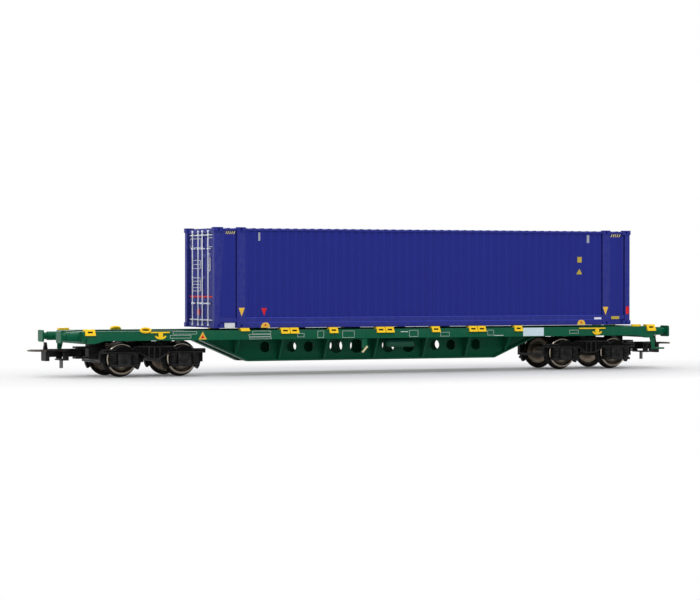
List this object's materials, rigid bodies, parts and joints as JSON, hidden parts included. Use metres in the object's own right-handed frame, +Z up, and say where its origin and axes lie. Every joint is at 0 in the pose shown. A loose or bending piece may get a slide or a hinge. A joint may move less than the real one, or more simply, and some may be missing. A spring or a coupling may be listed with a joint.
{
  "type": "model railway container flatcar with container",
  "caption": "Model railway bogie flatcar with a fish-belly underframe, carrying one blue box container on lock plates, with loop couplers and buffers at both ends.",
  "frame": {"origin": "middle of the wagon at the wheel flanges' lowest points, as it stands on a flat surface", "axes": "+X along the wagon towards the container's blind end, +Y towards the side away from the air tank, +Z up"},
  "size_m": [0.2412, 0.0324, 0.049],
  "materials": {
    "frame_green": "satin paint",
    "lock_yellow": "satin paint",
    "container_blue": "satin moulding",
    "bogie_black": "matt moulding",
    "wheel_metal": "turned and browned",
    "coupler_black": "matt moulding"
  },
  "bodies": {
    "wagon": {"side_sill_near": "frame_green", "side_sill_far": "frame_green", "girder_near": "frame_green", "girder_far": "frame_green", "cross_arms_near": "frame_green", "cross_arms_far": "frame_green", "diaphragms": "frame_green", "headstock_a": "frame_green", "headstock_b": "frame_green", "draft_sills_a": "frame_green", "draft_sills_b": "frame_green", "bolster_a": "frame_green", "bolster_b": "frame_green", "buffers_a": "frame_green", "buffers_b": "frame_green", "corner_steps": "frame_green", "air_tank": "frame_green", "brake_lever": "frame_green", "lock_plates_near": "lock_yellow", "lock_plates_far": "lock_yellow", "folded_pins_near": "lock_yellow", "folded_pins_far": "lock_yellow", "coupler_mount_a": "coupler_black", "coupler_mount_b": "coupler_black"},
    "container": {"container_side_near": "container_blue", "container_side_far": "container_blue", "container_posts": "container_blue", "container_frame_a": "container_blue", "container_frame_b": "container_blue", "container_front": "container_blue", "container_roof": "container_blue", "container_floor": "container_blue", "container_door_near": "container_blue", "container_door_far": "container_blue", "door_bars": "container_blue"},
    "bogie_a": {"bogie_frame_a": "bogie_black", "axle_boxes_a": "bogie_black", "brake_gear_a": "bogie_black"},
    "bogie_b": {"bogie_frame_b": "bogie_black", "axle_boxes_b": "bogie_black", "brake_gear_b": "bogie_black"},
    "wheelset_1": {"axle_1": "wheel_metal", "wheels_1": "wheel_metal"},
    "wheelset_2": {"axle_2": "wheel_metal", "wheels_2": "wheel_metal"},
    "wheelset_3": {"axle_3": "wheel_metal", "wheels_3": "wheel_metal"},
    "wheelset_4": {"axle_4": "wheel_metal", "wheels_4": "wheel_metal"},
    "coupler_a": {"coupler_arm_a": "coupler_black", "coupler_head_a": "coupler_black"},
    "coupler_b": {"coupler_arm_b": "coupler_black", "coupler_head_b": "coupler_black"},
    "loop_a": {"coupler_loop_a": "coupler_black"},
    "loop_b": {"coupler_loop_b": "coupler_black"}
  },
  "joints": [
    {"name": "container_lift", "type": "slide", "parent": "wagon", "child": "container", "axis": [0, 0, 1], "range_m": [0, 0.012]},
    {"name": "bogie_a_turn", "type": "hinge", "parent": "wagon", "child": "bogie_a", "pos_m": [-0.0816, 0, 0.0099], "axis": [0, 0, -1], "range_deg": [-14, 14]},
    {"name": "wheelset_1_spin", "type": "hinge", "parent": "bogie_a", "child": "wheelset_1", "pos_m": [-0.09195, 0, 0.00595], "axis": [0, 1, 0], "continuous": true},
    {"name": "wheelset_2_spin", "type": "hinge", "parent": "bogie_a", "child": "wheelset_2", "pos_m": [-0.07125, 0, 0.00595], "axis": [0, 1, 0], "continuous": true},
    {"name": "bogie_b_turn", "type": "hinge", "parent": "wagon", "child": "bogie_b", "pos_m": [0.0816, 0, 0.0099], "axis": [0, 0, 1], "range_deg": [-14, 14]},
    {"name": "wheelset_3_spin", "type": "hinge", "parent": "bogie_b", "child": "wheelset_3", "pos_m": [0.07125, 0, 0.00595], "axis": [0, 1, 0], "continuous": true},
    {"name": "wheelset_4_spin", "type": "hinge", "parent": "bogie_b", "child": "wheelset_4", "pos_m": [0.09195, 0, 0.00595], "axis": [0, 1, 0], "continuous": true},
    {"name": "coupler_a_swing", "type": "hinge", "parent": "wagon", "child": "coupler_a", "pos_m": [-0.1032, 0, 0.0079], "axis": [0, 0, -1], "range_deg": [-10, 10]},
    {"name": "loop_a_lift", "type": "hinge", "parent": "coupler_a", "child": "loop_a", "pos_m": [-0.109, 0, 0.0079], "axis": [0, 1, 0], "range_deg": [0, 12]},
    {"name": "coupler_b_swing", "type": "hinge", "parent": "wagon", "child": "coupler_b", "pos_m": [0.1032, 0, 0.0079], "axis": [0, 0, 1], "range_deg": [-10, 10]},
    {"name": "loop_b_lift", "type": "hinge", "parent": "coupler_b", "child": "loop_b", "pos_m": [0.109, 0, 0.0079], "axis": [0, -1, 0], "range_deg": [0, 12]}
  ]
}
